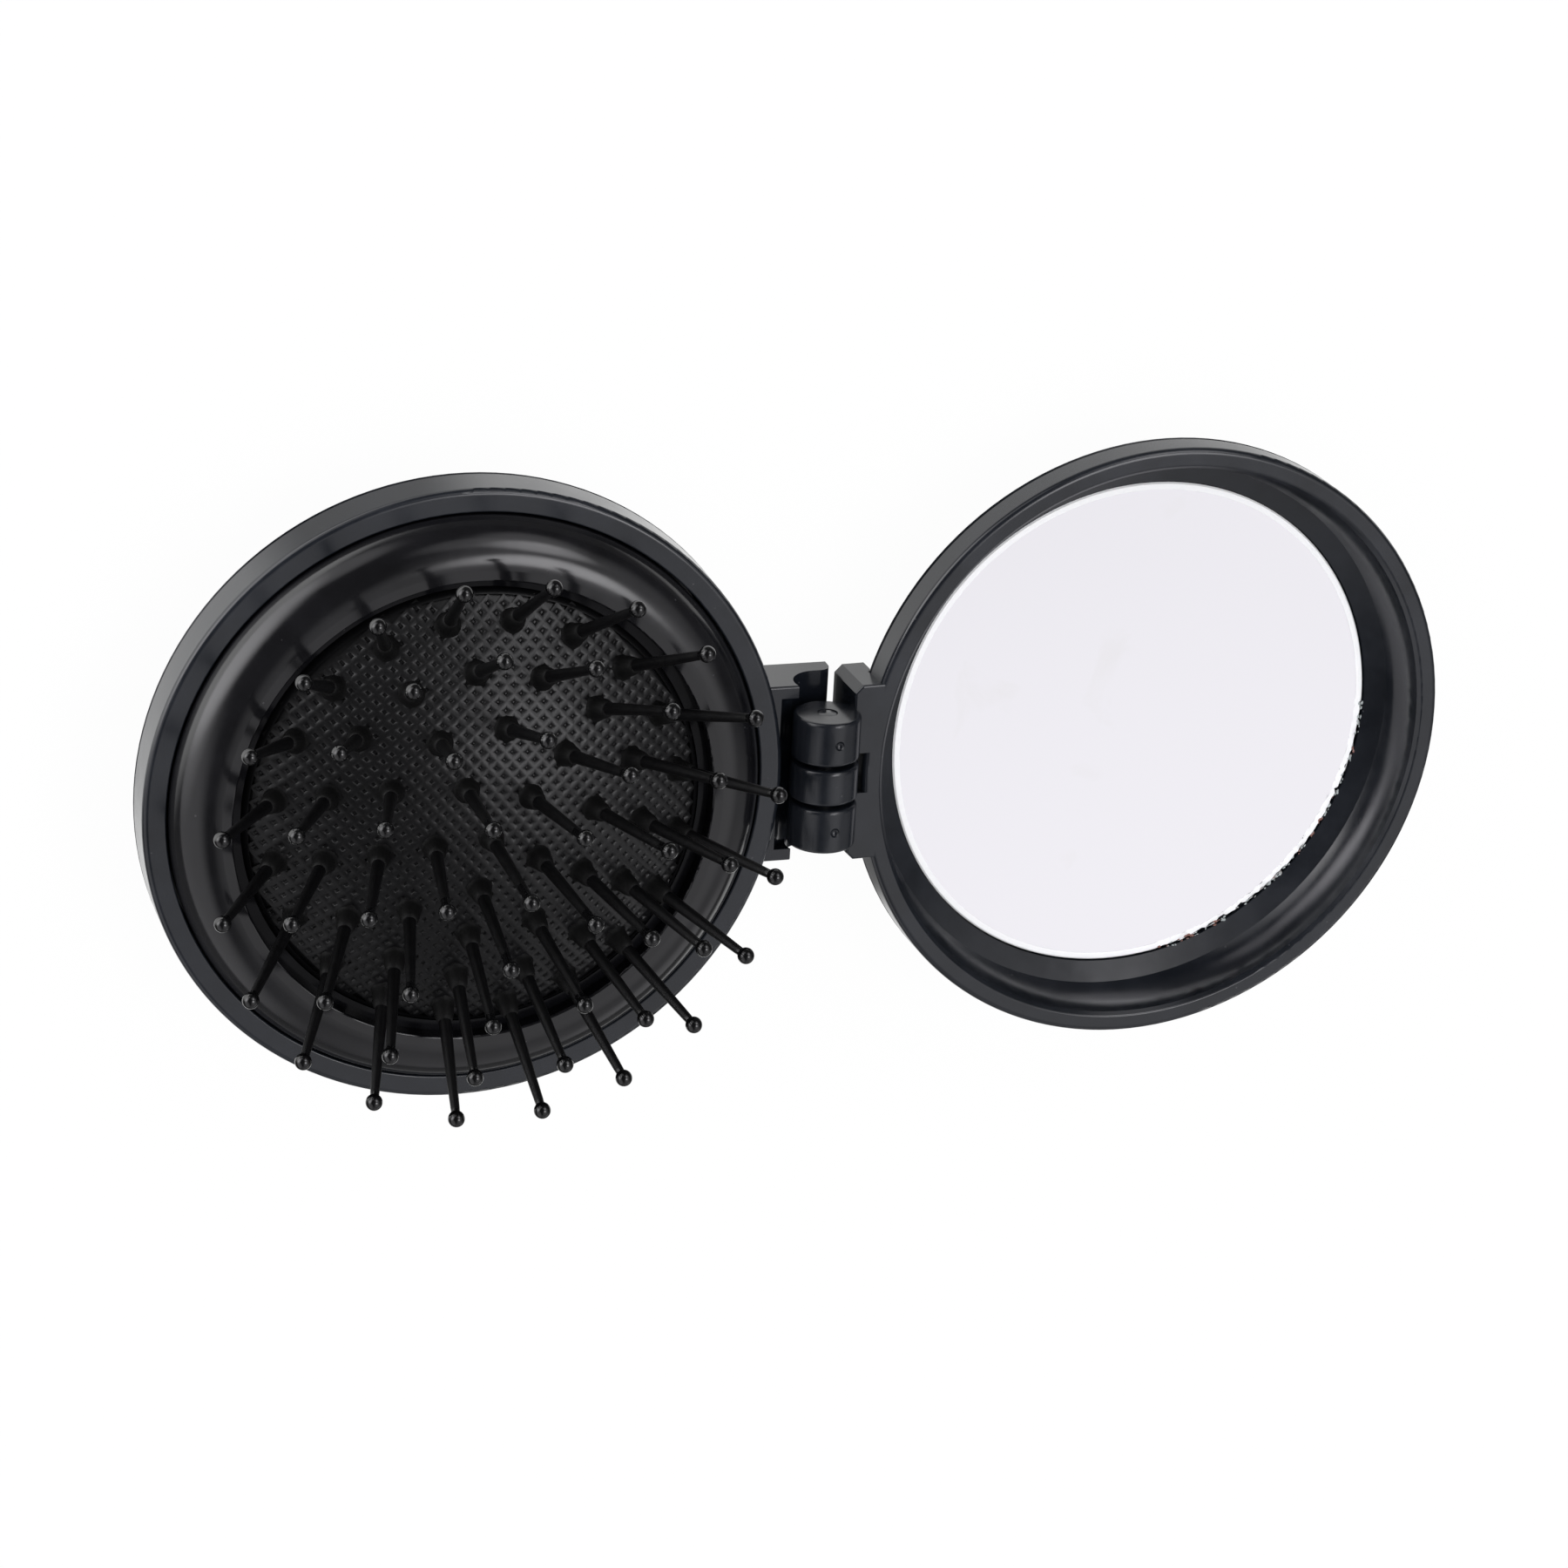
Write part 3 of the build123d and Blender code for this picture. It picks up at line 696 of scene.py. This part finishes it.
# soft black rubber with a satin bloom on the ribs of its weave
def cushionRubber():
    material = newMaterial("cushionRubber")
    place = addNode(material, "ShaderNodeTexCoord")
    bloom = addNode(material, "ShaderNodeTexNoise", {"Scale": 1 / (7.0 * mm), "Detail": 5.0},
                    {"Vector": place.outputs["Object"]})
    shade = addNode(material, "ShaderNodeMix",
                    {"data_type": "RGBA", firstColor: hexColor(rubber["color"]),
                     secondColor: hexColor(rubber["bloom"])}, {0: bloom.outputs[0]})
    grain = addNode(material, "ShaderNodeTexNoise", {"Scale": 1 / (0.35 * mm), "Detail": 2.0},
                    {"Vector": place.outputs["Object"]})
    bump = addNode(material, "ShaderNodeBump", {"Strength": 0.25, "Distance": 0.04 * mm},
                   {"Height": grain.outputs[0]})
    onWeave, atEdge = rubber["sheen"]
    # the sheen falls over the plain border and the edge of the dome: a duller border, and painted
    # shade by the deep groove outside it
    sheen = addNode(material, "ShaderNodeMapRange",
                    {"From Min": (cushion["margin"] - rubber["sheenStep"]) * mm,
                     "From Max": cushion["edge"] * mm, "To Min": onWeave, "To Max": atEdge},
                    {"Value": brushRadius(material, place)})
    # painted shade: the sheen is lower on the side away from the hinge and higher towards it
    side = addNode(material, "ShaderNodeVectorMath",
                   {"operation": "DOT_PRODUCT", 1: rubber["sheenLitAlong"]},
                   {0: place.outputs["Object"]})
    middle = caseMiddle.dot(Vector(rubber["sheenLitAlong"]))
    shadedFrom, litTo = rubber["sheenLitSpread"]
    shadedShare, litShare = rubber["sheenLitShare"]
    sheenLitShare = addNode(material, "ShaderNodeMapRange",
                   {"interpolation_type": "SMOOTHSTEP", "From Min": middle + shadedFrom * mm,
                    "From Max": middle + litTo * mm, "To Min": shadedShare, "To Max": litShare},
                   {"Value": side.outputs["Value"]})
    sheen = addNode(material, "ShaderNodeMath", {"operation": "MULTIPLY"},
                    {0: sheen.outputs[0], 1: sheenLitShare.outputs[0]})
    body = addNode(material, "ShaderNodeBsdfPrincipled",
                   {"Roughness": rubber["roughness"], "IOR": 1.52},
                   {"Base Color": shade.outputs[mixedColor], "Normal": bump.outputs[0],
                    "Specular IOR Level": sheen.outputs[0]})
    addNode(material, "ShaderNodeOutputMaterial", {}, {"Surface": body.outputs[0]})
    return material


# the rubber where it rises round a pin: smooth from the mould and very dark
def bossRubber():
    material = newMaterial("smoothRubber")
    place = addNode(material, "ShaderNodeTexCoord")
    bloom = addNode(material, "ShaderNodeTexNoise", {"Scale": 1 / (1.6 * mm), "Detail": 3.0},
                    {"Vector": place.outputs["Object"]})
    shade = addNode(material, "ShaderNodeMix",
                    {"data_type": "RGBA", firstColor: hexColor("#030303"),
                     secondColor: hexColor("#070707")}, {0: bloom.outputs[0]})
    body = addNode(material, "ShaderNodeBsdfPrincipled",
                   {"Roughness": 0.6, "IOR": 1.52, "Specular IOR Level": 0.22},
                   {"Base Color": shade.outputs[mixedColor]})
    addNode(material, "ShaderNodeOutputMaterial", {}, {"Surface": body.outputs[0]})
    return material


nylon = {
    "color": "#030304",
    "streak": "#070708",
    "ballsFrom": 12.55,        # mm over the dome, where the gloss is full
    "blur": 0.3,               # mm below that, where it starts
    "shaftRoughness": (0.34, 0.52),
    "ballRoughness": 0.1,
    "shaftSheen": 0.24,
    "ballSheen": 0.5,
}


# nylon pins: the ball ends are dipped and glossy, the shafts dull from the mould
def pinNylon():
    material = newMaterial("pinNylon")
    place = addNode(material, "ShaderNodeTexCoord")
    streak = addNode(material, "ShaderNodeTexNoise", {"Scale": 1 / (1.2 * mm), "Detail": 3.0},
                     {"Vector": place.outputs["Object"]})
    ballsFrom = cushion["domeRadius"] + nylon["ballsFrom"]
    reach = addNode(material, "ShaderNodeVectorMath",
                    {"operation": "DISTANCE", 1: above(caseMiddle, -cushion["domeDrop"])},
                    {0: place.outputs["Object"]})
    ball = addNode(material, "ShaderNodeMapRange",
                   {"From Min": (ballsFrom - nylon["blur"]) * mm, "From Max": ballsFrom * mm},
                   {"Value": reach.outputs["Value"]})
    smoothest, dullest = nylon["shaftRoughness"]
    dull = addNode(material, "ShaderNodeMapRange", {"To Min": smoothest, "To Max": dullest},
                   {"Value": streak.outputs[0]})
    dull = addNode(material, "ShaderNodeMix",
                   {"data_type": "FLOAT", "B": nylon["ballRoughness"]},
                   {0: ball.outputs[0], "A": dull.outputs[0]})
    shade = addNode(material, "ShaderNodeMix",
                    {"data_type": "RGBA", firstColor: hexColor(nylon["color"]),
                     secondColor: hexColor(nylon["streak"])}, {0: streak.outputs[0]})
    sheen = addNode(material, "ShaderNodeMix",
                    {"data_type": "FLOAT", "A": nylon["shaftSheen"], "B": nylon["ballSheen"]},
                    {0: ball.outputs[0]})
    body = addNode(material, "ShaderNodeBsdfPrincipled", {"IOR": 1.53},
                   {"Base Color": shade.outputs[mixedColor], "Roughness": dull.outputs[0],
                    "Specular IOR Level": sheen.outputs[0]})
    addNode(material, "ShaderNodeOutputMaterial", {}, {"Surface": body.outputs[0]})
    return material


# silvered float glass: a clean bright reflection with faint wipe marks
def silveredGlass():
    material = newMaterial("silveredGlass")
    place = addNode(material, "ShaderNodeTexCoord")
    wipe = addNode(material, "ShaderNodeTexNoise",
                   {"Scale": 1 / (10.0 * mm), "Detail": 7.0, "Distortion": 0.6},
                   {"Vector": place.outputs["Object"]})
    haze = addNode(material, "ShaderNodeMapRange",
                   {"From Min": 0.6, "From Max": 0.8, "To Min": 0.01, "To Max": 0.025},
                   {"Value": wipe.outputs[0]})
    tone = addNode(material, "ShaderNodeMapRange", {"From Min": 0.62, "From Max": 0.78},
                   {"Value": wipe.outputs[0]})
    shade = addNode(material, "ShaderNodeMix",
                    {"data_type": "RGBA", firstColor: hexColor("#FCFBFE"),
                     secondColor: hexColor("#F8F7F8")}, {0: tone.outputs[0]})
    body = addNode(material, "ShaderNodeBsdfPrincipled", {"Metallic": 1.0},
                   {"Base Color": shade.outputs[mixedColor], "Roughness": haze.outputs[0]})
    addNode(material, "ShaderNodeOutputMaterial", {}, {"Surface": body.outputs[0]})
    return material


# drawn steel wire of the hinge pin, a little tarnished
def pinSteel():
    material = newMaterial("hingeSteel")
    place = addNode(material, "ShaderNodeTexCoord")
    tarnish = addNode(material, "ShaderNodeTexNoise", {"Scale": 1 / (1.5 * mm), "Detail": 4.0},
                      {"Vector": place.outputs["Object"]})
    dull = addNode(material, "ShaderNodeMapRange", {"To Min": 0.22, "To Max": 0.45},
                   {"Value": tarnish.outputs[0]})
    shade = addNode(material, "ShaderNodeMix",
                    {"data_type": "RGBA", firstColor: hexColor("#C8C8C6"),
                     secondColor: hexColor("#8E8C88")}, {0: tarnish.outputs[0]})
    body = addNode(material, "ShaderNodeBsdfPrincipled", {"Metallic": 1.0},
                   {"Base Color": shade.outputs[mixedColor], "Roughness": dull.outputs[0]})
    addNode(material, "ShaderNodeOutputMaterial", {}, {"Surface": body.outputs[0]})
    return material


# pale foam tape behind the glass
def foamTape():
    material = newMaterial("foamTape")
    place = addNode(material, "ShaderNodeTexCoord")
    cell = addNode(material, "ShaderNodeTexVoronoi", {"Scale": 1 / (0.5 * mm)},
                   {"Vector": place.outputs["Object"]})
    shade = addNode(material, "ShaderNodeMix",
                    {"data_type": "RGBA", firstColor: hexColor("#A8A69E"),
                     secondColor: hexColor("#CFCDC6")}, {0: cell.outputs[0]})
    bump = addNode(material, "ShaderNodeBump", {"Strength": 0.4, "Distance": 0.1 * mm},
                   {"Height": cell.outputs[0]})
    body = addNode(material, "ShaderNodeBsdfPrincipled", {"Roughness": 0.85},
                   {"Base Color": shade.outputs[mixedColor], "Normal": bump.outputs[0]})
    addNode(material, "ShaderNodeOutputMaterial", {}, {"Surface": body.outputs[0]})
    return material


def dress(names, material):
    for name in names:
        slots = nodes[name].data.materials
        slots.clear()
        slots.append(material)


addCamera()
addFloor()
addWorld()
addFill()
bpy.context.scene.view_settings.view_transform = "Standard"
print("studio set")

caseAbs = blackAbs("mouldedAbs")
dress(["base_frame", "base_back", "lid_frame", "lid_back", "head_cup", "thumb_plate"], caseAbs)
dress(["head_bezel"], blackAbs("polishedAbs"))
dress(["pins_outer_ring", "pins_third_ring", "pins_second_ring", "pins_inner_ring", "pin_centre"],
      pinNylon())
dress(["hinge_pin"], pinSteel())
dress(["mirror"], silveredGlass())
dress(["mirror_pad"], foamTape())
print("solids dressed")

pad = joinPieces([cushionBody(), cushionWeave()], "cushionPad")
pad.data.materials.append(cushionRubber())
collars = pinBosses()
collars.data.materials.append(bossRubber())
for piece in (pad, collars):
    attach(piece, "head")
    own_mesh(piece)
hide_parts("cushion")
print("cushion made")

plugs = pinPlugs()
plugs.data.materials.append(caseAbs)
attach(plugs, "lid")
print("hinge closed off")

edge, chips = mirrorEdgeRing(), edgeChips()
edge.data.materials.append(groundGlass())
chips.data.materials.append(chipGlass())
for piece in (edge, chips):
    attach(piece, "lid")
print("mirror edge made")
